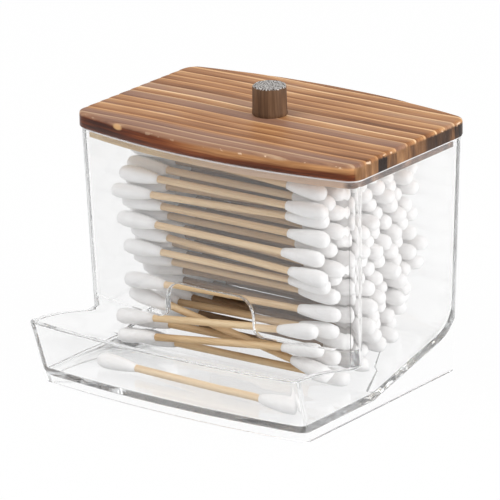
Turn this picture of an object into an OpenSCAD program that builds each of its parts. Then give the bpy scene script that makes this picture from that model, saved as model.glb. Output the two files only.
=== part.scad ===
// Cotton swab holder: a clear moulded box with a burnt wooden lid and a catch tray in front.
// The swabs lie across the box on a sloping floor and roll forward to an arched notch.
// Sizes in millimetres. +X runs along the long front wall, -Y is the front, +Z is up.
// The ground is z = 0, and the origin is under the middle of the whole object.

/* [Clear box] */
// Width of the box at the rim
box_w = 100; // [92:1:120]
// Depth of the box at the rim, between its corners
box_d = 55; // [46:0.1:70]
// Height of the rim above the ground
box_h = 72.5; // [64:0.5:90]
// Thickness of the moulded walls
wall = 2.2; // [1.6:0.1:3]
// Lean of the walls, so that the moulding leaves its mould
draft = 1.5; // [0:0.1:2]
// How far the middle of the front wall stands out from its corners
front_bow = 6; // [0:0.1:7]
// How far the middle of the back wall stands out from its corners
back_bow = 6; // [0:0.1:7]
// Radius of the upright corners
corner_r = 4.2; // [3:0.1:7]

/* [Floor] */
// Height of the flat floor above the ground
floor_h = 5; // [4:0.1:8]
// Slope of the floor under the swabs
ramp_angle = 14; // [8:1:18]
// Distance from the front corners back to the foot of the slope
ramp_start = 11.7; // [8:0.1:16]
// Radius where the slope turns up into the back wall
ramp_fillet = 9; // [5:0.5:12]

/* [Window and notch] */
// Height of the lower edge of the front wall
window_h = 20.5; // [18:0.1:24]
// Width of the arched notch
notch_w = 31; // [24:0.5:40]
// Height of the notch above the lower edge of the front wall
notch_h = 11.5; // [8:0.1:16]
// Radius of the upper corners of the notch
notch_r = 5.5; // [3:0.1:7]
// Radius where the notch runs out into the lower edge
notch_foot_r = 3; // [1:0.1:4]

/* [Tray] */
// Reach of the tray lip in front of the box corners
lip_reach = 28.4; // [24:0.1:36]
// Reach of the tray foot in front of the box corners
foot_reach = 22.1; // [20:0.1:30]
// Height of the tray lip
lip_h = 20.3; // [16:0.1:24]
// Height of the tray sides where they meet the box
side_h = 15.9; // [12:0.1:16]
// How far the middle of the tray lip stands out from its corners
tray_bow = 3; // [0:0.1:6]
// Radius of the tray corners
tray_corner_r = 3; // [2.6:0.1:5]

/* [Lid] */
// Thickness of the lid board
board_t = 5; // [4:0.1:8]
// Overhang of the board around the rim
board_overhang = 0.5; // [0.4:0.1:3]
// Radius of the board corners in plan
board_corner_r = 4.4; // [4:0.1:8]
// Rounding of the upper edge of the board
board_round = 1.8; // [1:0.1:3]
// Distance between the brushed furrows of the board
furrow_pitch = 4.9; // [3:0.1:8]
// Depth of the brushed furrows
furrow_depth = 0.3; // [0.1:0.05:0.6]
// Thickness of the inner panel
panel_t = 3.1; // [2:0.1:5]
// Clearance between the inner panel and the walls
panel_gap = 0.6; // [0.3:0.1:1.5]

/* [Knob] */
// Diameter of the knob at its foot
knob_d = 10.5; // [8:0.1:14]
// Diameter of the knob at its top
knob_top_d = 10.1; // [8:0.1:14]
// Height of the knob
knob_h = 8.9; // [7:0.1:14]
// Bevel of the knob's upper edge
knob_bevel = 0.35; // [0.1:0.05:0.8]
// Shank diameter of the knob screw
screw_d = 3; // [2.5:0.1:3.5]
// Head diameter of the knob screw
screw_head_d = 6; // [5:0.1:7]
// Depth that the screw reaches into the knob
screw_bite = 6; // [4:0.5:6.5]
// Clearance around the screw
screw_gap = 0.1; // [0.05:0.05:0.3]

/* [Swabs] */
// Length of a swab
swab_l = 74; // [70:0.5:78]
// Length of a cotton tip
tip_l = 16; // [12:0.5:18]
// Greatest diameter of a cotton tip
tip_d = 4.7; // [4:0.1:4.9]
// Diameter of a cotton tip where it meets the stick
tip_neck_d = 3; // [2.9:0.1:3.4]
// Diameter of a stick
stick_d = 2.3; // [2:0.1:2.5]
// Clearance between a stick and the bore of its tip
tip_gap = 0.06; // [0.04:0.01:0.1]
// Distance between neighbours in one layer of swabs
swab_pitch = 5.48; // [5.3:0.02:6]
// How far a swab end may stray from its even place
swab_stray = 0.2; // [0:0.05:0.25]
// How far a swab may lie off the middle along its length
swab_slide = 2.4; // [0:0.1:4]
// Seed of the small irregularities of the stack
swab_seed = 11; // [1:1:99]

/* [Hidden] */
tier_count = 12;
tier_ids = [for (t = [1 : tier_count]) str(t < 10 ? "0" : "", t)];
$fn = 32;
eps = 0.01;
clear = 1;
edge_steps = 14;
corner_steps = 5;
clear_plastic = [0.86, 0.9, 0.92, 0.35];
burnt_wood = [0.55, 0.34, 0.2];
pale_wood = [0.85, 0.68, 0.48];
dark_wood = [0.34, 0.24, 0.17];
stick_wood = [0.87, 0.74, 0.54];
cotton = [0.97, 0.97, 0.96];
steel = [0.7, 0.7, 0.72];

half_w = box_w / 2;
front_y = -box_d / 2;
back_y = box_d / 2;
slope = tan(ramp_angle);
ramp_y = front_y + ramp_start;
top_z = box_h + board_t;
// The whole object reaches from the tray lip to the back of the board.
reach_front = front_y - lip_reach - tray_bow;
reach_back = back_y + back_bow + board_overhang;
middle_y = (reach_front + reach_back) / 2;
knob_y = (back_bow - front_bow) / 2;

// Inset of the leaning walls at the height z.
function lean(z) = tan(draft) * (box_h - z);
// Reach of the tray's front wall at the height z.
function tray_reach(z) = foot_reach + (lip_reach - foot_reach) * z / lip_h;
// Height of the slope at the depth y, along the side walls.
function ramp_z(y) = floor_h + slope * (y - ramp_y);

// Half of a bowed edge, from its middle to the end of its rounded corner: a parabola of the depth
// bow, then an arc of the radius r that meets it smoothly and ends along the side.
function bowed_half(hw, bow, r) =
    let (
        first = atan(2 * bow / hw),
        x_first = hw - r * (1 - sin(first)),
        turn = atan(2 * bow * x_first / hw ^ 2),
        x_end = hw - r * (1 - sin(turn)),
        y_end = -bow * (1 - (x_end / hw) ^ 2)
    )
    concat(
        [for (i = [0 : edge_steps]) let (x = x_end * i / edge_steps) [x, -bow * (1 - (x / hw) ^ 2)]],
        [for (j = [1 : corner_steps])
            let (a = turn + (90 - turn) * j / corner_steps)
            [x_end + r * (sin(a) - sin(turn)), y_end + r * (cos(turn) - cos(a))]]
    );

function reversed(list) = [for (i = [len(list) - 1 : -1 : 0]) list[i]];

// Closed outline with bowed front and back edges whose corners lie at x = +-hw, y = yf and y = yb.
function bowed_outline(hw, yf, yb, fb, bb, r) =
    let (
        front = [for (p = bowed_half(hw, fb, r)) [p[0], yf + p[1]]],
        back = [for (p = bowed_half(hw, bb, r)) [p[0], yb - p[1]]],
        right = concat(front, reversed(back)),
        left = [for (p = reversed(right)) [-p[0], p[1]]]
    )
    // The middle points of the two edges lie in both halves, so the left half leaves them out.
    concat(right, [for (i = [1 : len(left) - 2]) left[i]]);

module slice(z, points) {
    translate([0, 0, z])
        linear_extrude(eps)
            polygon(points);
}

// Every piece is drawn about the middle of the box and then moved over the origin.
module place() {
    translate([0, -middle_y, 0])
        children();
}

// Clear box

// Outline of the box at the height z, drawn in from its outer face by inset, and by back_inset
// more at the back.
function box_outline(z, inset, back_inset = 0, bb = back_bow) =
    let (in = lean(z) + inset)
    bowed_outline(half_w - in, front_y + in, back_y - in - back_inset,
                  front_bow, bb, max(corner_r - inset, 0.6));

// Outline of the tray at the height z. It runs back into the box.
function tray_outline(z, inset) =
    let (in = lean(z) + inset)
    bowed_outline(half_w - in, front_y - tray_reach(z) + inset, ramp_y,
                  tray_bow, 0, max(tray_corner_r - inset, 0.6));

// The circle that turns the slope up into the back wall.
fillet_y = back_y - lean(floor_h + ramp_fillet) - wall - ramp_fillet;
fillet_z = ramp_z(fillet_y) + ramp_fillet / cos(ramp_angle);
fillet_turn = 90 - ramp_angle;
fillet_steps = 6;

// Convex body between the walls above the slope, drawn in by inset from the outer faces.
// A slice at the rim, slices down the fillet, and one at the foot of the slope.
module hold(inset, top) {
    r = ramp_fillet + wall - inset;
    drop = wall - inset;
    hull() {
        slice(top, box_outline(box_h, inset));
        for (i = [0 : fillet_steps]) {
            a = fillet_turn * i / fillet_steps;
            z = fillet_z - r * sin(a);
            slice(z, box_outline(z, inset, r * (1 - cos(a))));
        }
        z = floor_h - drop;
        y = ramp_y + drop * tan(ramp_angle / 2);
        slice(z, box_outline(z, inset, back_y - lean(z) - inset - y, 0));
    }
}

// The space between the inner faces of the two side walls, from y0 to y1.
module between_sides(y0, y1, z0, z1) {
    low = half_w - wall - lean(z0);
    high = half_w - wall - lean(z1);
    translate([0, y1, 0])
        rotate([90, 0, 0])
            linear_extrude(y1 - y0)
                polygon([[-low, z0], [low, z0], [high, z1], [-high, z1]]);
}

// All that lies above the curved upper edge of the tray sides, in front of the box.
module above_tray_edge() {
    steps = 10;
    edge = [for (i = [0 : steps])
        [front_y - lip_reach * i / steps, side_h + (lip_h - side_h) * sin(90 * i / steps)]];
    far = front_y - lip_reach - tray_bow - clear;
    rotate([90, 0, 90])
        translate([0, 0, -half_w - clear])
            linear_extrude(box_w + 2 * clear)
                polygon(concat([[ramp_y, lip_h + 2 * clear], [ramp_y, side_h]], edge,
                               [[far, lip_h], [far, lip_h + 2 * clear]]));
}

module tray() {
    difference() {
        hull() {
            slice(0, tray_outline(0, 0));
            slice(lip_h - eps, tray_outline(lip_h, 0));
        }
        hull() {
            slice(floor_h, tray_outline(floor_h, wall));
            slice(lip_h + clear, tray_outline(lip_h + clear, wall));
        }
        above_tray_edge();
    }
}

// Arched opening in the lower edge of the front wall, with rounded feet.
module notch_shape() {
    hw = notch_w / 2;
    r = notch_foot_r;
    top = window_h + notch_h;
    difference() {
        union() {
            translate([-hw, window_h - clear])
                square([notch_w, top - window_h + clear - notch_r]);
            translate([-hw + notch_r, window_h])
                square([notch_w - 2 * notch_r, notch_h]);
            for (side = [-1, 1])
                translate([side * (hw - notch_r), top - notch_r])
                    circle(notch_r);
            translate([-hw - r, window_h - clear])
                square([notch_w + 2 * r, r + clear]);
        }
        for (side = [-1, 1])
            translate([side * (hw + r), window_h + r])
                circle(r);
    }
}

module clear_box() {
    color(clear_plastic)
    place()
    difference() {
        union() {
            tray();
            hull() {
                slice(0, box_outline(0, 0));
                slice(box_h - eps, box_outline(box_h, 0));
            }
        }
        hold(wall, box_h + clear);
        between_sides(front_y - front_bow - clear, ramp_y, floor_h, window_h);
        translate([0, ramp_y, 0])
            rotate([90, 0, 0])
                linear_extrude(ramp_start + front_bow + clear)
                    notch_shape();
        translate([0, 0, -clear])
            linear_extrude(floor_h - wall + clear)
                polygon(tray_outline(0, wall));
        difference() {
            between_sides(ramp_y - wall, back_y + back_bow + clear, -clear, fillet_z);
            hold(0, box_h);
        }
    }
}

// Lid

// Outline of the board, drawn in by inset.
function board_outline(inset) =
    let (out = board_overhang - inset)
    bowed_outline(half_w + out, front_y - out, back_y + out,
                  front_bow, back_bow, board_corner_r - inset);

// Brushed furrows along the grain, as a body that is cut from the top of the board. The ridges
// between them lie a little below the round seat of the knob.
module furrows() {
    side = board_overhang + clear;
    y0 = front_y - front_bow - side;
    count = ceil((back_y + back_bow + side - y0) / furrow_pitch);
    per_furrow = 6;
    floor_line = [for (i = [0 : count * per_furrow])
        [y0 + i * furrow_pitch / per_furrow,
         -furrow_depth * (0.65 - 0.35 * cos(360 * i / per_furrow))]];
    difference() {
        translate([0, 0, top_z])
            rotate([90, 0, 90])
                translate([0, 0, -half_w - side])
                    linear_extrude(box_w + 2 * side)
                        polygon(concat(floor_line, [[y0 + count * furrow_pitch, clear], [y0, clear]]));
        translate([0, knob_y, top_z - clear])
            cylinder(d = knob_d + 1, h = 3 * clear);
    }
}

module screw_hole(z0, z1, d) {
    translate([0, knob_y, z0])
        cylinder(d = d + 2 * screw_gap, h = z1 - z0);
}

module lid_board() {
    side_z = box_h + board_overhang / 2;
    color(burnt_wood)
    place()
    difference() {
        hull() {
            slice(box_h, board_outline(board_overhang / 2));
            translate([0, 0, side_z])
                linear_extrude(top_z - board_round - side_z)
                    polygon(board_outline(0));
            for (a = [25, 50, 90])
                slice(top_z - board_round * (1 - sin(a)) - eps, board_outline(board_round * (1 - cos(a))));
        }
        furrows();
        screw_hole(box_h - clear, top_z + clear, screw_d);
    }
}

// The countersunk head of the screw: a cone of 90 degrees.
head_h = (screw_head_d - screw_d) / 2;
panel_z = box_h - panel_t;

module lid_inner_panel() {
    inset = wall + panel_gap + lean(panel_z);
    color(pale_wood)
    place()
    difference() {
        translate([0, 0, panel_z])
            linear_extrude(panel_t)
                polygon(bowed_outline(half_w - inset, front_y + inset, back_y - inset,
                                      front_bow, back_bow, max(corner_r - wall - panel_gap, 1)));
        screw_hole(panel_z - clear, box_h + clear, screw_d);
        translate([0, knob_y, panel_z - eps])
            cylinder(d1 = screw_head_d + 2 * screw_gap, d2 = screw_d + 2 * screw_gap, h = head_h);
    }
}

module knob() {
    r = knob_d / 2;
    rt = knob_top_d / 2;
    color(dark_wood)
    place()
    translate([0, knob_y, top_z])
        difference() {
            rotate_extrude()
                polygon([[0, 0], [r, 0], [rt, knob_h - knob_bevel],
                         [rt - knob_bevel, knob_h], [0, knob_h]]);
            translate([0, 0, -clear])
                cylinder(d = screw_d + 2 * screw_gap, h = screw_bite + clear + 2 * screw_gap);
        }
}

module knob_screw() {
    length = panel_t + board_t + screw_bite;
    tip = screw_d / 2;
    slot_w = 0.8;
    slot_l = screw_head_d * 0.6;
    slot_depth = head_h * 0.8;
    color(steel)
    place()
    translate([0, knob_y, panel_z])
        difference() {
            rotate_extrude()
                polygon([[0, 0], [screw_head_d / 2, 0], [screw_d / 2, head_h],
                         [screw_d / 2, length - tip], [0, length]]);
            for (turn = [0, 90])
                rotate([0, 0, turn])
                    translate([-slot_l / 2, -slot_w / 2, -clear])
                        cube([slot_l, slot_w, slot_depth + clear]);
        }
}

// Swabs
// They lie in layers that follow the slope of the floor. In each layer they are swab_pitch apart,
// and the next layer lies in the hollows of the one below.

tip_r = tip_d / 2;
layer_h = swab_pitch * sqrt(3) / 2;
reach = swab_l / 2;
seat_gap = 0.15;
tip_y = reach - tip_l / 2;
// Some layers are turned by one whole place between their left and right ends.
layer_turns = [0, 0, 1, 0, -1, 0, 0, 1, 0, 0, -1, 0, 1, 0, 0, -1];
// The low front corner of the box is left to the loose swabs.
loose_zone_depth = 12.4;
loose_zone_height = 21.5;

// Inner faces of the walls beside the cotton tips, which lie at x = +-tip_y.
function bow_at(x, bow) = bow * (1 - (x / half_w) ^ 2);
front_limit = front_y + wall + lean(floor_h) - bow_at(tip_y, front_bow) + tip_r + seat_gap;
back_limit = back_y - wall - lean(floor_h) + bow_at(tip_y, back_bow) - tip_r - seat_gap;
top_limit = panel_z - tip_r - seat_gap - swab_stray;

// Depth and height of the place number i in layer k.
function site(k, i) =
    let (
        n = tip_r + seat_gap + swab_stray + k * layer_h,
        s = (i + (k % 2) / 2) * swab_pitch
    )
    [back_limit - swab_stray - s * cos(ramp_angle) - n * sin(ramp_angle),
     ramp_z(back_limit - swab_stray) - s * sin(ramp_angle) + n * cos(ramp_angle)];

function floor_z(y) = ramp_z(max(y, ramp_y));

// Ends of a swab that lies off the middle by slide, from its left to its right [depth, height].
function ends_of(slide, left, right) =
    let (half_x = sqrt(reach ^ 2 - norm(right - left) ^ 2 / 4))
    [[slide - half_x, left[0], left[1]], [slide + half_x, right[0], right[1]]];

// Loose swabs, each by its slide and its left and right ends: how far behind the foremost place
// and how high above the floor below it.
loose_places = [
    [-3.3, [1.3, 9.5], [1.5, 18.4]],
    [-2.8, [1.1, 3.6], [2.8, 12.3]],
    [-1, [5.9, 16.8], [3.9, 4.4]],
    [1, [6.2, 2.6], [8.9, 2.6]],
    [-1.5, [6.1, 7.9], [8.9, 8.2]],
    [0.9, [16.5, 12.5], [11.1, 12.6]],
    [-0.5, [11.1, 12.8], [7.5, 17.2]],
    [0, [2.9, 21.6], [7.9, 22.2]]
];
function loose_end(p) = [front_limit + p[0], floor_z(front_limit + p[0]) + p[1]];
function is_clear_of_loose(p, side) =
    min([for (l = loose_places) norm(p - loose_end(l[side]))]) > tip_d + seat_gap;

// A place is free when a tip there keeps clear of the walls, the lid, the turn of the slope and
// the loose swabs. Side 1 is the left end and side 2 the right end.
function is_clear_of_turn(p) =
    p[0] < fillet_y || p[1] > fillet_z
    || norm([p[0] - fillet_y, p[1] - fillet_z]) < ramp_fillet - tip_r - seat_gap - swab_stray;
function is_free(p, side) =
    p[0] > front_limit + swab_stray && p[0] < back_limit
    && p[1] < top_limit
    && p[1] - floor_z(p[0]) > tip_r / cos(ramp_angle)
    && !(p[0] < front_limit + loose_zone_depth && p[1] < floor_h + loose_zone_height)
    && is_clear_of_loose(p, side)
    && is_clear_of_turn(p);

layer_count = ceil((top_limit - floor_h) / (layer_h * cos(ramp_angle))) + 1;
place_count = ceil((back_limit - front_limit) / (swab_pitch * cos(ramp_angle))) + layer_count;

// Every pair of free places at the two ends of one layer holds a swab.
swab_places = [
    for (k = [0 : layer_count], i = [-layer_count : place_count])
        let (
            turn = layer_turns[k % len(layer_turns)],
            left = site(k, i),
            right = site(k, i + turn)
        )
        if (is_free(left, 1) && is_free(right, 2)) [left, right]
];

swab_count = len(swab_places);
stray = rands(-1, 1, swab_count * 5, swab_seed);

// Ends of swab number n of the stack, with its own slide and small strays.
function stray_of(n, i) = stray[5 * n + i] * swab_stray;
function swab_ends(n) =
    ends_of(stray[5 * n + 4] * swab_slide,
            swab_places[n][0] + [stray_of(n, 0), stray_of(n, 1)],
            swab_places[n][1] + [stray_of(n, 2), stray_of(n, 3)]);

// One more swab lies on the floor of the tray.
tray_swab_y = front_y - foot_reach * 0.6;
tray_swab_z = floor_h + tip_r + eps;
loose_ends = concat(
    [for (l = loose_places) ends_of(l[0], loose_end(l[1]), loose_end(l[2]))],
    [ends_of(3, [tray_swab_y + 0.8, tray_swab_z], [tray_swab_y - 0.8, tray_swab_z])]
);

// Draws its children along the line from a to b, which start at a and point along +Z.
module along(a, b) {
    v = b - a;
    translate(a)
        rotate([0, acos(v[2] / norm(v)), atan2(v[1], v[0])])
            children();
}

module stick(ends) {
    bare = tip_r * 0.6;
    along(ends[0], ends[1])
        translate([0, 0, bare])
            cylinder(d = stick_d, h = norm(ends[1] - ends[0]) - 2 * bare, $fn = 24);
}

// A cotton tip: its round end is at the origin, and it narrows towards the stick at z = tip_l.
// The stick's bore is part of the outline.
module tip() {
    bore_r = stick_d / 2 + tip_gap;
    bore_z = tip_r * 0.6 - tip_gap;
    rotate_extrude($fn = 24)
        polygon([[0, 0], [tip_r * 0.5, 0.25], [tip_r * 0.87, tip_r * 0.55], [tip_r, tip_r * 1.25],
                 [tip_r * 0.99, tip_l * 0.35], [tip_r * 0.86, tip_l * 0.65],
                 [tip_neck_d / 2, tip_l], [bore_r, tip_l], [bore_r, bore_z], [0, bore_z]]);
}

module tips(ends) {
    along(ends[0], ends[1])
        tip();
    along(ends[1], ends[0])
        tip();
}

// Each tier is an even share of the layered swabs, from the floor up.
function tier_swabs(t) = [floor((t - 1) * swab_count / tier_count) : floor(t * swab_count / tier_count) - 1];

module swab_sticks(t) {
    color(stick_wood)
    place()
    for (n = tier_swabs(t))
        stick(swab_ends(n));
}

module swab_tips(t) {
    color(cotton)
    place()
    for (n = tier_swabs(t))
        tips(swab_ends(n));
}

module loose_swab_sticks() {
    color(stick_wood)
    place()
    for (ends = loose_ends)
        stick(ends);
}

module loose_swab_tips() {
    color(cotton)
    place()
    for (ends = loose_ends)
        tips(ends);
}

clear_box();
lid_board();
lid_inner_panel();
knob();
knob_screw();
for (t = [1 : tier_count]) {
    swab_sticks(t);
    swab_tips(t);
}
loose_swab_sticks();
loose_swab_tips();
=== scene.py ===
"""Looks of the cotton swab holder: a clear moulded box, a burnt and brushed wooden lid, and swabs
with wooden sticks and cotton tips. Lengths are in metres."""

import math

import bmesh
import bpy
import numpy as np
from mathutils import Matrix, Vector

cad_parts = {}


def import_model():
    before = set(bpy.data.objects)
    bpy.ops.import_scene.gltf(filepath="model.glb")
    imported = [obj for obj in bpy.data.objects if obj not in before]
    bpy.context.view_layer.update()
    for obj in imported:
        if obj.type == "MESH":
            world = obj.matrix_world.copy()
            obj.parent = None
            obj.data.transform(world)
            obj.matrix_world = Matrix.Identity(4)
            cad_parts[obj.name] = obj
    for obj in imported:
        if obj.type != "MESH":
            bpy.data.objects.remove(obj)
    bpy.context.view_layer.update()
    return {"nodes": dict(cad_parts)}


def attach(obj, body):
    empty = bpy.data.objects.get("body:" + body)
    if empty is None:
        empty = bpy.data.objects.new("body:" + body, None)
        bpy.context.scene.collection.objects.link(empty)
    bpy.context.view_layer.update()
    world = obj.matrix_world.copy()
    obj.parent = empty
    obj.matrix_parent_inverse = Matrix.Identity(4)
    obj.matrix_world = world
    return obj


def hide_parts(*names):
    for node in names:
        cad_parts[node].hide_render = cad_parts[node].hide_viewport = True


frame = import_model()
nodes = frame["nodes"]
MM = 0.001

# Named sizes, the same as those of the solids.
MIDDLE_Y = 12.45 * MM
BOX_W, BOX_D, BOX_H = 100 * MM, 55 * MM, 72.5 * MM
FRONT_BOW, BACK_BOW = 6 * MM, 6 * MM
WINDOW_H = 20.5 * MM
BOARD_T, OVERHANG = 5 * MM, 0.5 * MM
BOARD_CORNER, BOARD_ROUND = 4.4 * MM, 1.1 * MM
FURROW_PITCH = 4.9 * MM
TOP_Z = BOX_H + BOARD_T
KNOB_Y = MIDDLE_Y + (BACK_BOW - FRONT_BOW) / 2
KNOB_R, KNOB_TOP_R, KNOB_H = 5.25 * MM, 5.05 * MM, 8.9 * MM
TIP_R, TIP_L, STICK_R = 2.35 * MM, 14 * MM, 1.15 * MM

# Small finishing sizes that the looks alone have.
# The third size is how far below the top of the rim the painted rim highlight begins.
EDGE_ROUND, RIM_ROUND, RIM_GLINT_DEPTH = 0.35 * MM, 0.7 * MM, 0.65 * MM
FURROW_WALL = 0.14
FRAY_LENGTH, FRAY_LEFT, FRAY_RIGHT = 1.4 * MM, 0.05, 0.18


# Node materials


def feed(tree, socket, value):
    """Links a Sock to an input, or sets the input's own value."""
    if isinstance(value, Sock):
        tree.links.new(value.out, socket)
    elif value is not None:
        socket.default_value = value


class Sock:
    """A node's output that takes arithmetic."""

    def __init__(self, tree, out):
        self.tree, self.out = tree, out

    def math(self, operation, *others):
        node = self.tree.nodes.new("ShaderNodeMath")
        node.operation = operation
        for socket, value in zip(node.inputs, (self, *others)):
            feed(self.tree, socket, value)
        return Sock(self.tree, node.outputs[0])

    def __add__(self, other):
        return self.math("ADD", other)

    def __sub__(self, other):
        return self.math("SUBTRACT", other)

    def __rsub__(self, other):
        return self.math("MULTIPLY_ADD", -1.0, other)

    def __mul__(self, other):
        return self.math("MULTIPLY", other)

    def __truediv__(self, other):
        return self.math("DIVIDE", other)

    def __pow__(self, other):
        return self.math("POWER", other)

    __radd__, __rmul__ = __add__, __mul__


class Tree:
    """Builds a node tree. add() makes any other node."""

    def __init__(self, owner):
        owner.use_nodes = True
        self.tree = owner.node_tree
        self.tree.nodes.clear()

    def add(self, kind, out=0, props=(), **inputs):
        node = self.tree.nodes.new("ShaderNode" + kind)
        for name, value in dict(props).items():
            setattr(node, name, value)
        for name, value in inputs.items():
            key = int(name[1:]) if name[0] == "i" and name[1:].isdigit() else name.replace("_", " ")
            feed(self.tree, node.inputs[key], value)
        return Sock(self.tree, node.outputs[out])

    def coords(self):
        return self.add("TexCoord", "Object")

    def split(self, vector):
        node = self.tree.nodes.new("ShaderNodeSeparateXYZ")
        feed(self.tree, node.inputs[0], vector)
        return [Sock(self.tree, o) for o in node.outputs]

    def join(self, x, y, z):
        return self.add("CombineXYZ", X=x, Y=y, Z=z)

    def noise(self, vector, detail=2.0, roughness=0.5):
        """Noise from 0 to 1 whose grains are one unit of the vector."""
        return self.add("TexNoise", Vector=vector, Scale=1.0, Detail=detail, Roughness=roughness)

    def step(self, value, low, high, to_low=0.0, to_high=1.0):
        """A smooth step of value from low to high."""
        return self.add("MapRange", props={"interpolation_type": "SMOOTHSTEP"}, Value=value,
                        From_Min=low, From_Max=high, To_Min=to_low, To_Max=to_high)

    def random(self, value):
        return self.add("TexWhiteNoise", props={"noise_dimensions": "1D"}, W=value)

    def mix(self, factor, a, b):
        a, b = [(*c, 1.0) if isinstance(c, tuple) and len(c) == 3 else c for c in (a, b)]
        return self.add("Mix", 2, {"data_type": "RGBA"}, i0=factor, i6=a, i7=b)

    def ramp(self, value, *stops):
        """A colour ramp with stops of (place, colour)."""
        node = self.tree.nodes.new("ShaderNodeValToRGB")
        elements = node.color_ramp.elements
        while len(elements) < len(stops):
            elements.new(0.5)
        for element, (place, colour) in zip(elements, stops):
            element.position, element.color = place, (*colour, 1.0)
        feed(self.tree, node.inputs[0], value)
        return Sock(self.tree, node.outputs[0])

    def bump(self, height, distance, strength=1.0):
        return self.add("Bump", Height=height, Distance=distance, Strength=strength)

    def surface(self, shader, volume=None):
        node = self.tree.nodes.new("ShaderNodeOutputMaterial")
        feed(self.tree, node.inputs["Surface"], shader)
        feed(self.tree, node.inputs["Volume"], volume)


def material(name):
    made = bpy.data.materials.new(name)
    return made, Tree(made)


def rays(t, *names):
    """One where a ray is of one of these kinds, and zero elsewhere."""
    node = t.tree.nodes.new("ShaderNodeLightPath")
    found = [Sock(t.tree, node.outputs[n]) for n in names]
    total = found[0]
    for other in found[1:]:
        total = total.math("MAXIMUM", other)
    return total


SEEN = ("Is Camera Ray", "Is Glossy Ray", "Is Transmission Ray")


def clear_plastic():
    """Clear plastic that lets the lamps' light through to the swabs. Along the top of its rim a
    band of white is painted in as a highlight, standing in for the glint of the rounded rim.
    """
    made, t = material("clear_plastic")
    _, _, z = t.split(t.coords())
    glass = t.add("BsdfPrincipled", Base_Color=(1, 1, 1, 1), Roughness=0.0, IOR=1.49,
                  Transmission_Weight=0.98)
    # Painted highlight: a white diffuse band near the top of the rim stands in for the glint of its
    # rounded edge.
    rim_glint_shader = t.add("BsdfPrincipled", Base_Color=(0.95, 0.95, 0.96, 1), Roughness=0.5)
    cut = t.step(z, BOX_H - RIM_GLINT_DEPTH, BOX_H - RIM_GLINT_DEPTH + 0.2 * MM) * 0.8
    glass = t.add("MixShader", i0=cut, i1=glass, i2=rim_glint_shader)
    through = t.add("BsdfTransparent", Color=(0.93, 0.935, 0.94, 1))
    unseen = rays(t, "Is Shadow Ray", "Is Diffuse Ray")
    t.surface(t.add("MixShader", i0=unseen, i1=glass, i2=through),
              t.add("VolumeAbsorption", Color=(0.10, 0.13, 0.14, 1), Density=5.0))
    return made


# Each sine has a size, a rate in radians per metre and a start.
WAVES = ((0.36 * MM, 61.0, 0.7), (0.17 * MM, 143.0, 2.1))
SPREAD = (0.07, 420.0, 0.4)


def grain_phase(x, y, sin):
    """Counts the grain ridges across the board: the depth, bent a little along the board by two
    sines, over the ridge distance, with one more sine that makes the ridges unevenly wide."""
    line = y
    for size, rate, start in WAVES:
        line = line + sin(x * rate + start) * size
    size, rate, start = SPREAD
    return line / FURROW_PITCH + sin(line * rate + start) * size, line


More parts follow.
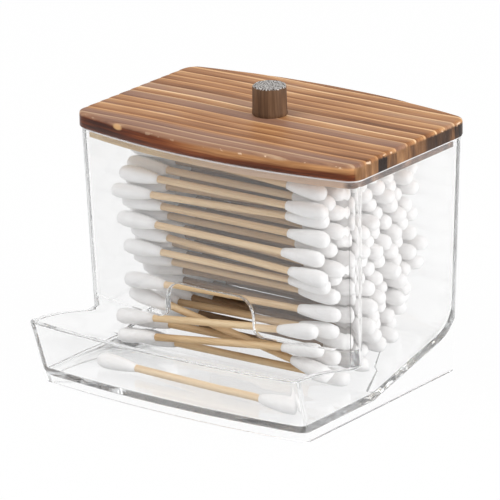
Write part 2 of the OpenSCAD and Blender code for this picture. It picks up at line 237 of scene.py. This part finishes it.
def burnt_wood():
    """Burnt and brushed softwood with its grain along X: pale lines that are sharp at the back and
    fade to the front, pinkish-grey patches on the top that are a painted reflection of the sky, a
    red-brown side with pale flecks along its upper edge that are painted highlights, a knot, and
    blotched end grain."""
    made, t = material("burnt_wood")
    x, y, z = t.split(t.coords())
    phase, line = grain_phase(x, y, lambda s: s.math("SINE"))
    stripe, place = phase.math("FLOOR"), phase.math("FRACT")
    own = t.random(stripe)
    fibres = t.noise(t.join(x * 45.0, line * 2600.0, z * 1200.0), 3.0, 0.6)
    streaks = t.noise(t.join(x * 14.0, line * 900.0, z * 300.0), 3.0, 0.55)
    patches = t.noise(t.join(x * 30.0, line * 80.0, z * 40.0), 2.0, 0.5)
    bold, next_bold = (t.random(stripe + k) * 0.8 + 0.3 for k in (40.0, 41.0))
    tone = t.step(place, 0.0, 0.06, 0.72, 0.0) * bold + t.step(place, 0.05, 0.7, 0.26, 0.52)
    tone = tone + t.step(place, 0.74, 0.97, 0.0, 0.5) * next_bold + (own - 0.5) * 0.2
    tone = tone + (streaks - 0.5) * 0.5 + (fibres - 0.5) * 0.6 + (patches - 0.5) * 0.6
    top = t.ramp(tone, (0.0, (0.140, 0.052, 0.020)), (0.35, (0.340, 0.148, 0.058)),
                 (0.65, (0.550, 0.285, 0.122)), (1.0, (0.850, 0.580, 0.335)))
    # Painted reflection: pinkish-grey patches and a pinkish-grey strip along the front of the top
    # stand in for the pale sky reflected in the satin top.
    painted_sky_reflection = t.step(patches + (t.random(stripe + 17.3) - 0.5) * 0.6, 0.55, 0.75)
    painted_sky_reflection = painted_sky_reflection.math("MAXIMUM", t.step(line, -10.5 * MM, -13.0 * MM))
    top = t.mix(painted_sky_reflection * 0.55, top, t.mix(fibres, (0.190, 0.110, 0.090), (0.330, 0.205, 0.165)))
    height = (z - BOX_H) / BOARD_T
    wide = t.noise(t.join(x * 30.0, y * 30.0, z * 700.0), 3.0, 0.6)
    side = t.ramp(wide, (0.3, (0.040, 0.008, 0.002)), (0.5, (0.130, 0.028, 0.006)),
                  (0.75, (0.300, 0.085, 0.022)))
    warm = t.ramp(wide, (0.3, (0.260, 0.100, 0.032)), (0.7, (0.640, 0.330, 0.140)))
    turn = t.step(x + (patches - 0.5) * 0.02, -16 * MM, 12 * MM)
    side = t.mix(turn * t.step(height + (wide - 0.5) * 0.5, 0.3, 0.65), side, warm)
    grains = t.noise(t.join(0.0, y * 500.0, z * 120.0), 2.0)
    block = t.random(stripe + 5.0) * 0.6 + (grains - 0.3) * 0.9
    end = t.ramp(block, (0.2, (0.018, 0.009, 0.006)), (0.42, (0.110, 0.052, 0.024)),
                 (0.7, (0.230, 0.110, 0.045)), (0.95, (0.420, 0.235, 0.110)))
    scorched = t.step(y + block * 3 * MM, 20 * MM, 22.5 * MM) * t.step(y, 33 * MM, 31 * MM)
    end = t.mix(scorched * 0.8, end, (0.022, 0.012, 0.009))
    far = x.math("ABSOLUTE")
    low = t.step(z + (streaks - 0.5) * 0.0008, TOP_Z - 0.6 * MM, TOP_Z - 1.5 * MM)
    body = t.mix(low, top, t.mix(t.step(far, 49.2 * MM, 50.0 * MM), side, end))
    # Painted highlights: pale flecks along the upper front edge, more of them to the right, stand
    # in for glints on the crackled edge.
    painted_glints = t.step(t.noise(t.join(x * 330.0, y * 330.0, z * 500.0), 2.0, 0.5), 0.61, 0.66)
    below = TOP_Z - z
    rim = t.step(below, 0.3 * MM, 0.7 * MM) * t.step(below, 1.6 * MM, 1.0 * MM)
    body = t.mix(painted_glints * rim * t.step(x, -12 * MM, 0.0, 0.25, 0.9), body, (0.80, 0.58, 0.40))
    knot = ((x + 32 * MM) * 0.5) ** 2 + (z - (TOP_Z - 1.3 * MM)) ** 2
    knot = t.step(knot, (1.1 * MM) ** 2, (0.4 * MM) ** 2) * t.step(y, 0.0, -4 * MM)
    body = t.mix(knot * 0.85, body, (0.72, 0.42, 0.19))
    rough = t.step(low, 0.0, 1.0, 0.5, 0.32)
    shader = t.add("BsdfPrincipled", Base_Color=body, Roughness=rough, Specular_IOR_Level=0.2,
                   Normal=t.bump(fibres * 0.5 + streaks, 0.2 * MM, 0.6))
    t.surface(shader)
    return made


def pale_wood():
    """Planed wood, tan at the left and pinkish at the right, with a blotched brown right end."""
    made, t = material("pale_wood")
    x, y, z = t.split(t.coords())
    streaks = t.noise(t.join(x * 22.0, y * 700.0, z * 900.0), 3.0, 0.55)
    blots = t.noise(t.join(x * 60.0, y * 180.0, z * 200.0), 2.0, 0.5)
    tan = t.ramp(streaks, (0.3, (0.560, 0.350, 0.150)), (0.7, (0.820, 0.590, 0.300)))
    brown = t.ramp(blots * 0.7 + streaks * 0.3, (0.36, (0.030, 0.013, 0.008)),
                   (0.5, (0.120, 0.055, 0.028)), (0.66, (0.380, 0.220, 0.130)))
    pink = t.step(x + (blots - 0.5) * 0.01, -30 * MM, 25 * MM, 0.0, 0.7)
    body = t.mix(pink, tan, (0.66, 0.42, 0.32))
    body = t.mix(t.step(x, 44 * MM, 46 * MM), body, brown)
    shader = t.add("BsdfPrincipled", Base_Color=body, Roughness=0.55, Specular_IOR_Level=0.35,
                   Normal=t.bump(streaks, 0.2 * MM, 0.6))
    t.surface(shader)
    return made


def dark_wood():
    """Knob of dark wood: upright grain on its side and grey, speckled end grain on its top."""
    made, t = material("dark_wood")
    x, y, z = t.split(t.coords())
    grain = t.noise(t.join(x * 1100.0, y * 1100.0, z * 45.0), 3.0, 0.6)
    wide = t.noise(t.join(x * 260.0, y * 260.0, z * 30.0), 2.0, 0.5)
    side = t.ramp(grain * 0.6 + wide * 0.4, (0.3, (0.040, 0.020, 0.011)),
                  (0.5, (0.125, 0.066, 0.034)), (0.72, (0.230, 0.130, 0.070)))
    speckle = t.noise(t.join(x * 2000.0, y * 2000.0, 0.0), 2.0, 0.7)
    top = t.ramp(speckle, (0.42, (0.030, 0.025, 0.022)), (0.5, (0.260, 0.240, 0.225)),
                 (0.58, (0.640, 0.620, 0.600)))
    knob_top = TOP_Z + KNOB_H
    cap = t.step(z + (speckle - 0.5) * 0.0006, knob_top - 0.55 * MM, knob_top - 0.25 * MM)
    shader = t.add("BsdfPrincipled", Base_Color=t.mix(cap, side, top), Roughness=0.6,
                   Specular_IOR_Level=0.3, Normal=t.bump(grain + speckle * cap, 0.25 * MM, 0.7))
    t.surface(shader)
    return made


def stick_wood():
    """Pale birch sticks with fine grain along X. Those inside the stack get painted shade: their
    colour is darkened to stand in for the shade deep in the stack.
    """
    made, t = material("stick_wood")
    x, y, z = t.split(t.coords())
    fibres = t.noise(t.join(x * 60.0, y * 1900.0, z * 1900.0), 3.0, 0.6)
    apart = t.noise(t.join(x * 8.0, y * 210.0, z * 210.0), 1.0, 0.5)
    body = t.ramp(fibres * 0.5 + apart * 0.5, (0.3, (0.500, 0.310, 0.145)),
                  (0.5, (0.730, 0.510, 0.285)), (0.7, (0.860, 0.670, 0.430)))
    # Painted shade: sticks inside the stack, away from its front, back and top, are darkened
    # towards deep brown to stand in for the shade between them.
    inner = t.step(y, -7 * MM, 1 * MM) * t.step(y, 34 * MM, 27 * MM) * t.step(z, 67 * MM, 61 * MM)
    body = t.mix(inner * 0.72, body, (0.150, 0.068, 0.030))
    shader = t.add("BsdfPrincipled", Base_Color=body, Roughness=0.55, Specular_IOR_Level=0.4,
                   Normal=t.bump(fibres, 0.12 * MM, 0.5))
    t.surface(shader)
    return made


def cotton():
    """Soft wound cotton: warm white, with fine threads and a faint fuzz."""
    made, t = material("cotton")
    x, y, z = t.split(t.coords())
    threads = t.noise(t.join(x * 900.0, y * 2200.0, z * 2200.0), 3.0, 0.65)
    lumps = t.noise(t.join(x * 260.0, y * 420.0, z * 420.0), 2.0, 0.5)
    body = t.ramp(threads * 0.5 + lumps * 0.5, (0.3, (0.86, 0.835, 0.815)),
                  (0.6, (0.94, 0.925, 0.915)))
    shader = t.add("BsdfPrincipled", Base_Color=body, Roughness=0.9, Specular_IOR_Level=0.2,
                   Sheen_Weight=0.35, Sheen_Roughness=0.5,
                   Normal=t.bump(threads * 0.35 + lumps, 0.5 * MM, 0.5))
    t.surface(shader)
    return made


def screw_steel():
    """Plain steel screw with fine turning marks."""
    made, t = material("screw_steel")
    x, y, z = t.split(t.coords())
    marks = t.noise(t.join(x * 300.0, y * 300.0, z * 5000.0), 2.0, 0.5)
    shader = t.add("BsdfPrincipled", Base_Color=(0.62, 0.62, 0.63, 1), Metallic=1.0,
                   Roughness=t.step(marks, 0.3, 0.7, 0.25, 0.42))
    t.surface(shader)
    return made


PLASTIC, BURNT, PALE = clear_plastic(), burnt_wood(), pale_wood()
DARK, STICK, COTTON, STEEL = dark_wood(), stick_wood(), cotton(), screw_steel()


# Pieces


def piece(name, verts, faces, body, mat, slot, *replaced):
    """Makes a mesh object from an array of points and a list or array of faces."""
    mesh = bpy.data.meshes.new(name)
    mesh.from_pydata(np.asarray(verts).tolist(), [], [list(map(int, f)) for f in faces])
    mesh.validate()
    mesh.update()
    made = bpy.data.objects.new(name, mesh)
    bpy.context.scene.collection.objects.link(made)
    mesh.materials.append(mat)
    mesh.shade_smooth()
    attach(made, body)
    if replaced:
        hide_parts(*replaced)
    return made


def dress(name, mat):
    """Gives a CAD node its material."""
    for slot in nodes[name].material_slots:
        slot.material = mat
    if not nodes[name].material_slots:
        nodes[name].data.materials.append(mat)


def copied(name, weld, flat):
    """A copy of a CAD node's mesh with its doubled points and its coplanar faces merged."""
    mesh = nodes[name].data.copy()
    bm = bmesh.new()
    bm.from_mesh(mesh)
    bmesh.ops.remove_doubles(bm, verts=bm.verts, dist=weld)
    bmesh.ops.dissolve_degenerate(bm, dist=weld, edges=bm.edges)
    bmesh.ops.dissolve_limit(bm, angle_limit=math.radians(flat), use_dissolve_boundaries=False,
                             verts=bm.verts, edges=bm.edges)
    bmesh.ops.recalc_face_normals(bm, faces=bm.faces)
    bm.to_mesh(mesh)
    bm.free()
    return mesh


def is_outer_rim(edge):
    """Tells whether an edge lies on the outer edge of the rim."""
    if min(v.co.z for v in edge.verts) < BOX_H - 0.1 * MM:
        return False
    middle = (edge.verts[0].co + edge.verts[1].co) / 2 - Vector((0, MIDDLE_Y, 0))
    return any(abs(f.normal.z) < 0.5 and f.normal.x * middle.x + f.normal.y * middle.y > 0
               for f in edge.link_faces)


def is_not_window(edge):
    """Tells whether an edge lies off the lower edge of the front wall."""
    return any(abs(v.co.z - WINDOW_H) > 0.05 * MM for v in edge.verts)


def round_edges(mesh, width, rim, segments):
    """Rounds the sharp edges, and those of the outer rim more. The flat faces keep their own
    normals, gently bowed faces blend into each other, and the normals of the rounding run from one
    face to the next."""
    bm = bmesh.new()
    bm.from_mesh(mesh)
    rounding = set()
    for pick, size in ((is_outer_rim, rim), (is_not_window, width)):
        fresh = [e for e in bm.edges if not rounding.intersection(e.link_faces)]
        sharp = [e for e in fresh if len(e.link_faces) == 2 and pick(e)
                 and e.calc_face_angle(0) > math.radians(35)]
        made = bmesh.ops.bevel(bm, geom=sharp, offset=size, offset_type="OFFSET", segments=segments,
                               profile=0.5, affect="EDGES", clamp_overlap=False)
        rounding = {f for f in rounding if f.is_valid} | set(made["faces"])
    normals = []
    for face in bm.faces:
        for loop in face.loops:
            near = list(loop.vert.link_faces)
            flat = [f for f in near if f not in rounding]
            turn = math.cos(math.radians(20 if flat and face not in rounding else 80))
            own = [f for f in (flat or near) if f.normal.dot(face.normal) > turn]
            ways = []
            for f in own:
                if all(f.normal.dot(w) < 0.99999 for w in ways):
                    ways.append(f.normal.copy())
            total = sum(ways, Vector()) if ways else face.normal
            normals.append(total.normalized())
    bm.to_mesh(mesh)
    bm.free()
    mesh.shade_smooth()
    mesh.normals_split_custom_set(normals)


def clear_box():
    """The moulding, with every edge slightly rounded."""
    mesh = copied("clear_box", 0.03 * MM, 0.3)
    mesh.name = "clear_shell"
    mesh.materials.clear()
    mesh.materials.append(PLASTIC)
    round_edges(mesh, EDGE_ROUND, RIM_ROUND, 2)
    made = bpy.data.objects.new("clear_shell", mesh)
    bpy.context.scene.collection.objects.link(made)
    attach(made, "holder")
    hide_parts("clear_box")


def half_edge(x, hw, bow, r):
    """How far a bowed edge of half width hw stands out at x, negative where it has turned in round
    its corner. It is a parabola of the depth bow, then an arc of the radius r."""
    x = np.abs(x)
    turn = math.atan(2 * bow * (hw - r) / hw**2)
    x_end = hw - r * (1 - math.sin(turn))
    y_end = bow * (1 - (x_end / hw) ** 2)
    lean = np.clip((x - x_end) / r + math.sin(turn), -1, 1)
    arc = y_end - r * (math.cos(turn) - np.sqrt(np.maximum(1 - lean**2, 0)))
    return np.where(x < x_end, bow * (1 - (x / hw) ** 2), arc)


def distance_to(points, outline):
    """Shortest distance from each point to a closed outline."""
    a, b = outline, np.roll(outline, -1, axis=0)
    d = b - a
    best = np.full(len(points), 1e9)
    for p, q in zip(a, d):
        v = points - p
        s = np.clip(v @ q / max(q @ q, 1e-18), 0, 1)
        best = np.minimum(best, np.linalg.norm(v - s[:, None] * q, axis=1))
    return best


def lid_board():
    """The board as closed sections across Y, lofted along X. Each section runs up the front side,
    over the top, down the back side and under. The top falls off in a quarter circle within the
    edge radius of the outline, and the ridges of the grain run along it: over each ridge the depth
    rises from a furrow along a straight wall, then sinks as a power of the way to the next. The
    furrows cut deeper into the two ends, by an exponential of the distance from the end."""
    hw = BOX_W / 2 + OVERHANG
    mids = np.linspace(-1, 1, 151)
    ends = 1 - np.array([0, 0.15, 0.35, 0.6, 0.9, 1.3, 1.8, 2.4, 3.1, 4.0, 5.0, 6.2]) * MM / hw
    u = np.unique(np.round(np.concatenate([mids[np.abs(mids) < 0.87], ends, -ends]), 6))
    near = np.array([0, 0.12, 0.3, 0.55, 0.85, 1.2, 1.6, 2.1, 2.7]) * MM
    x = u * hw
    front = MIDDLE_Y - BOX_D / 2 - OVERHANG - half_edge(x, hw, FRONT_BOW, BOARD_CORNER)
    back = MIDDLE_Y + BOX_D / 2 + OVERHANG + half_edge(x, hw, BACK_BOW, BOARD_CORNER)
    outline = np.concatenate([np.stack([x, front], 1), np.stack([x, back], 1)[::-1]])
    inner = np.linspace(0, 1, 134)
    rows = [front + d for d in near[:-1]]
    rows += [front + near[-1] + (back - front - 2 * near[-1]) * s for s in inner]
    rows += [back - d for d in near[:-1][::-1]]
    ys = np.stack(rows, 1)
    xs = np.repeat(x[:, None], ys.shape[1], axis=1)
    away = distance_to(np.stack([xs.ravel(), ys.ravel()], 1), outline).reshape(xs.shape)
    phase, _ = grain_phase(xs, ys, np.sin)
    place = phase - np.floor(phase)
    rng = np.random.default_rng(5)
    own = rng.random(64)[np.mod(np.floor(phase).astype(int), 64)]
    dip = np.clip(1 - place / FURROW_WALL, 0, 1)
    dip = dip + np.clip((place - FURROW_WALL) / (1 - FURROW_WALL), 0, 1) ** 1.6
    furrow = (0.04 + 0.09 * dip * (0.7 + 0.6 * own)) * MM
    seat = np.clip((np.hypot(xs, ys - KNOB_Y) - KNOB_R) / (1.5 * MM), 0, 1)
    furrow = furrow * (0.15 + 0.85 * seat)
    to_end = hw - np.abs(xs)
    frayed = np.exp(-to_end / FRAY_LENGTH) * np.where(xs > 0, FRAY_RIGHT, FRAY_LEFT)
    radius = BOARD_ROUND * (0.85 + 0.12 * np.sin(xs * 210 + 1.0) * np.sin(xs * 77))
    inside = np.clip(radius - away, 0, None)
    drop = radius - np.sqrt(np.maximum(radius**2 - inside**2, 0))
    zs = TOP_Z - furrow - np.minimum(drop + frayed * dip * 1.1 * MM, BOARD_T - 1.6 * MM)
    pull = frayed * (dip * 0.75 + own * 0.35) * MM
    xs = xs - np.sign(xs) * pull
    x0, x1, front, back = xs[:, :1], xs[:, -1:], ys[:, :1], ys[:, -1:]
    low, edge = np.full_like(x0, BOX_H), 0.45 * MM
    inset = edge * np.minimum(1, (back - front) / (4 * edge))
    share = np.linspace(0.1, 0.9, 9)
    ring_x = np.hstack([x0, x0, x0, xs, x1, x1, x1, x0 + 0 * share])
    ring_y = np.hstack([front + inset, front, front, ys, back, back, back - inset,
                        back + (front - back) * share])
    ring_z = np.hstack([low, low + edge, (low + edge + zs[:, :1]) / 2, zs,
                        (low + edge + zs[:, -1:]) / 2, low + edge, low, low + 0 * share])
    verts = np.stack([np.clip(ring_x, -hw, hw), ring_y, ring_z], -1).reshape(-1, 3)
    n = ring_x.shape[1]
    i, j = np.meshgrid(np.arange(len(x) - 1), np.arange(n), indexing="ij")
    k = (j + 1) % n
    quads = np.stack([i * n + j, (i + 1) * n + j, (i + 1) * n + k, i * n + k], -1).reshape(-1, 4)
    faces = [list(q) for q in quads]
    faces.append(list(range(n)))
    faces.append([(len(x) - 1) * n + a for a in range(n)][::-1])
    made = piece("lid_top_board", verts, faces, "lid", BURNT, "burnt_wood", "lid_board")
    fix_normals(made)
    sharpen(made, 50)


def fix_normals(made):
    """Turns every face outwards."""
    bm = bmesh.new()
    bm.from_mesh(made.data)
    bmesh.ops.recalc_face_normals(bm, faces=bm.faces)
    bm.to_mesh(made.data)
    bm.free()
    made.data.shade_smooth()


def sharpen(made, degrees):
    """Edges that turn more than this stay sharp."""
    made.data.set_sharp_from_angle(angle=math.radians(degrees))


def turned(profile, segments, wobble=None):
    """Points and faces of a closed shape turned about Z, from its lowest point on the axis to its
    highest: a point lies at the profile's radius, plus a wobble of ring and angle, times the cosine
    and sine of the angle. profile is a list of (radius, height), whose two ends lie on the axis."""
    r, z = (column[1:-1, None] for column in np.array(profile, float).T)
    angle = np.arange(segments) * 2 * np.pi / segments
    rings = len(r)
    r = r + (wobble(np.arange(rings)[:, None], angle) if wobble else 0 * angle)
    grid = np.stack([r * np.cos(angle), r * np.sin(angle), z + 0 * angle], -1).reshape(-1, 3)
    verts = np.vstack([(0, 0, profile[0][1]), grid, (0, 0, profile[-1][1])])
    s = np.arange(segments)
    e = (s + 1) % segments
    a = 1 + np.arange(rings - 1)[:, None] * segments
    b = a + segments
    top, last = 1 + (rings - 1) * segments, len(verts) - 1
    faces = np.stack([0 * s, 1 + e, 1 + s], -1).tolist()
    faces += np.stack([a + s, a + e, b + e, b + s], -1).reshape(-1, 4).tolist()
    faces += np.stack([top + s, top + e, 0 * s + last], -1).tolist()
    return verts, faces


def knob():
    """A turned pin with a worn upper edge. Its radius wavers by a sum of cosines of the angle."""
    rng = np.random.default_rng(3)
    waves = [(k, rng.normal() * 0.035 * MM, rng.uniform(0, 6.28)) for k in (2, 3, 5, 9, 14, 23)]

    def wobble(i, angle):
        return sum(a * np.cos(k * angle + p) for k, a, p in waves) * (0.6 + 0.08 * i)

    r, rt, h = KNOB_R, KNOB_TOP_R, KNOB_H
    profile = [(0, 0), (r * 0.6, 0), (r - 0.15 * MM, 0), (r, 0.2 * MM), (r - 0.05 * MM, 1.2 * MM),
               (r - 0.12 * MM, 3 * MM), (r - 0.16 * MM, 6 * MM), (rt, h - 0.7 * MM),
               (rt - 0.08 * MM, h - 0.35 * MM), (rt - 0.25 * MM, h - 0.12 * MM),
               (rt - 0.5 * MM, h - 0.02 * MM), (rt * 0.7, h), (rt * 0.35, h), (0, h)]
    verts, faces = turned(profile, 72, wobble)
    verts += np.array([0, KNOB_Y, TOP_Z - 0.03 * MM])
    made = piece("lid_knob", verts, faces, "lid", DARK, "dark_wood", "knob")
    sharpen(made, 60)


def axes_of(name):
    """Both ends of every stick in a CAD node of sticks, as an array of [stick, end, coordinate].
    The points of one stick share the lowest number that spreads along the mesh's edges."""
    mesh = nodes[name].data
    co = np.zeros(len(mesh.vertices) * 3)
    mesh.vertices.foreach_get("co", co)
    points, where = np.unique(np.round(co.reshape(-1, 3), 6), axis=0, return_inverse=True)
    where = where.reshape(-1)
    edges = np.zeros(len(mesh.edges) * 2, int)
    mesh.edges.foreach_get("vertices", edges)
    a, b = where[edges.reshape(-1, 2)].T
    label = np.arange(len(points))
    while True:
        low = np.minimum(label[a], label[b])
        new = label.copy()
        np.minimum.at(new, a, low)
        np.minimum.at(new, b, low)
        new = new[new]
        if (new == label).all():
            break
        label = new
    found = []
    for island in np.unique(label):
        p = points[label == island]
        middle = (p.max(0) + p.min(0)) / 2
        left, right = p[p[:, 0] < middle[0]].mean(0), p[p[:, 0] > middle[0]].mean(0)
        way = (right - left) / np.linalg.norm(right - left)
        along = (p - middle) @ way
        found.append([middle + way * along.min(), middle + way * along.max()])
    return np.array(found)


def set_along(verts, start, end):
    """Moves points from about the Z axis to about the line from start towards end."""
    w = (end - start) / np.linalg.norm(end - start)
    s = np.cross([0, 0, 1.0], w)
    s /= np.linalg.norm(s)
    return start + verts[:, :1] * s + verts[:, 1:2] * np.cross(w, s) + verts[:, 2:3] * w


def tip_points(rng):
    """A cotton bud along Z with its round end at the origin: full near the end and drawn in towards
    the stick. Its radius wavers by two cosines of the angle that turn along it."""
    full = TIP_R * rng.uniform(0.97, 1.05)
    long = TIP_L * rng.uniform(0.97, 1.03)
    shape = [(0.0, 0.0), (0.50, 0.016), (0.82, 0.06), (0.98, 0.15), (1.03, 0.30), (0.98, 0.48),
             (0.86, 0.68), (0.70, 0.87), (0.57, 0.985), (0.0, 1.0)]
    a, p, q = rng.uniform(0.01, 0.045), rng.uniform(0, 6.28), rng.uniform(0, 6.28)

    def wobble(i, angle):
        return full * a * (np.cos(2 * angle + p + i * 0.5) + 0.6 * np.cos(3 * angle + q - i * 0.9))

    return turned([(r * full, s * long) for r, s in shape], 10, wobble)


def stick_points(rng, length):
    """A thin wooden rod along Z. It bows sideways by half a sine of its length."""
    r = STICK_R * rng.uniform(0.95, 1.03)
    n = 5
    profile = [(0, 0)] + [(r, length * i / n) for i in range(n + 1)] + [(0, length)]
    verts, faces = turned(profile, 8)
    bow = rng.normal() * 0.12 * MM
    way = rng.uniform(0, 6.28)
    bend = bow * np.sin(np.pi * verts[:, 2] / length)
    verts[:, 0] += bend * math.cos(way)
    verts[:, 1] += bend * math.sin(way)
    return verts, faces


def gather(parts):
    """Joins many (points, faces) into one."""
    verts, faces, base = [], [], 0
    for v, f in parts:
        verts.append(v)
        faces += [[k + base for k in face] for face in f]
        base += len(v)
    return np.concatenate(verts), faces


def swabs(sticks_node, tips_node, label, seed):
    """All swabs of one tier: one piece of sticks and one of cotton tips."""
    rng = np.random.default_rng(seed)
    bare = TIP_R * 0.6
    sticks, tips = [], []
    for a, b in axes_of(sticks_node):
        way = (b - a) / np.linalg.norm(b - a)
        a, b = a - way * bare, b + way * bare
        v, f = stick_points(rng, np.linalg.norm(b - a) - 2 * bare)
        sticks.append((set_along(v, a + way * bare, b), f))
        for start, end in ((a, b), (b, a)):
            v, f = tip_points(rng)
            tips.append((set_along(v, start, end), f))
    made = piece("sticks_" + label, *gather(sticks), "holder", STICK, "stick_wood", sticks_node)
    sharpen(made, 60)
    piece("tips_" + label, *gather(tips), "holder", COTTON, "cotton", tips_node)


clear_box()
lid_board()
knob()
dress("lid_inner_panel", PALE)
dress("knob_screw", STEEL)
for tier in range(1, 13):
    swabs(f"swab_sticks_{tier:02d}", f"swab_tips_{tier:02d}", f"{tier:02d}", 100 + tier)
swabs("loose_swab_sticks", "loose_swab_tips", "loose", 200)


# Studio


def camera():
    """A long lens from the front right, a little above the rim."""
    yaw, pitch, roll = 0.64195, 0.32021, -0.01979
    flat = math.cos(pitch)
    back = Vector((math.sin(yaw) * flat, -math.cos(yaw) * flat, math.sin(pitch)))
    level = Vector((math.cos(yaw), math.sin(yaw), 0))
    up = back.cross(level)
    right = math.cos(roll) * level + math.sin(roll) * up
    up = math.cos(roll) * up - math.sin(roll) * level
    data = bpy.data.cameras.new("camera")
    data.lens, data.sensor_width = 371.68, 36.0
    data.clip_start, data.clip_end = 0.05, 30
    made = bpy.data.objects.new("camera", data)
    distance, aside, above = 1.51992, -0.0065591, -0.0042557
    place = Vector((0, MIDDLE_Y, 0.040)) + back * distance + right * aside + up * above
    made.matrix_world = Matrix.Translation(place) @ Matrix((right, up, back)).transposed().to_4x4()
    bpy.context.scene.collection.objects.link(made)
    bpy.context.scene.camera = made


def world():
    """Soft light from all round. Seen directly, in gloss or through plastic it is white, with a
    darker ceiling."""
    made = bpy.data.worlds.new("studio")
    t = Tree(made)
    _, _, z = t.split(t.add("TexCoord", "Generated"))
    ceiling = t.step(z, 0.36, 0.55, 1.0, 0.25) + t.step(z, 0.74, 0.86, 0.0, 0.75)
    soft = t.add("Background", Color=(1, 1, 1, 1), Strength=0.72)
    seen = t.add("Background", Color=(1, 1, 1, 1), Strength=ceiling)
    both = t.add("MixShader", i0=rays(t, *SEEN), i1=soft, i2=seen)
    node = t.tree.nodes.new("ShaderNodeOutputWorld")
    feed(t.tree, node.inputs["Surface"], both)
    bpy.context.scene.world = made


def floor():
    """A white floor that keeps a faint shadow, more of it where it is seen through plastic."""
    size = 8.0
    mesh = bpy.data.meshes.new("floor")
    z = -0.1 * MM
    corners = [(-size, -size, z), (size, -size, z), (size, size, z), (-size, size, z)]
    mesh.from_pydata(corners, [], [(0, 1, 2, 3)])
    made = bpy.data.objects.new("floor", mesh)
    bpy.context.scene.collection.objects.link(made)
    mat, t = material("floor_white")
    plain = t.add("BsdfDiffuse", Color=(0.85, 0.85, 0.85, 1))
    glow = t.add("Emission", Color=(1, 1, 1, 1), Strength=1.0)
    through = rays(t, "Is Transmission Ray") * 0.5
    bright = through.math("MAXIMUM", rays(t, *SEEN[:2]) * 0.97)
    t.surface(t.add("MixShader", i0=bright, i1=plain, i2=glow))
    mesh.materials.append(mat)


def lamp(name, place, size, power, target=(0, MIDDLE_Y, 0.04)):
    """A round area lamp that faces the target."""
    data = bpy.data.lights.new(name, "AREA")
    data.shape, data.size, data.energy = "DISK", size, power
    made = bpy.data.objects.new(name, data)
    made.location = place
    made.rotation_euler = (Vector(place) - Vector(target)).to_track_quat("Z", "Y").to_euler()
    bpy.context.scene.collection.objects.link(made)


camera()
world()
floor()
lamp("key", (-0.45, -0.55, 1.0), 0.7, 4.6)
lamp("side", (1.1, 0.15, 0.45), 0.9, 9.0)
scene = bpy.context.scene
scene.view_settings.view_transform = "Standard"
scene.cycles.max_bounces = scene.cycles.transmission_bounces = 32
scene.cycles.glossy_bounces = scene.cycles.transparent_max_bounces = 32
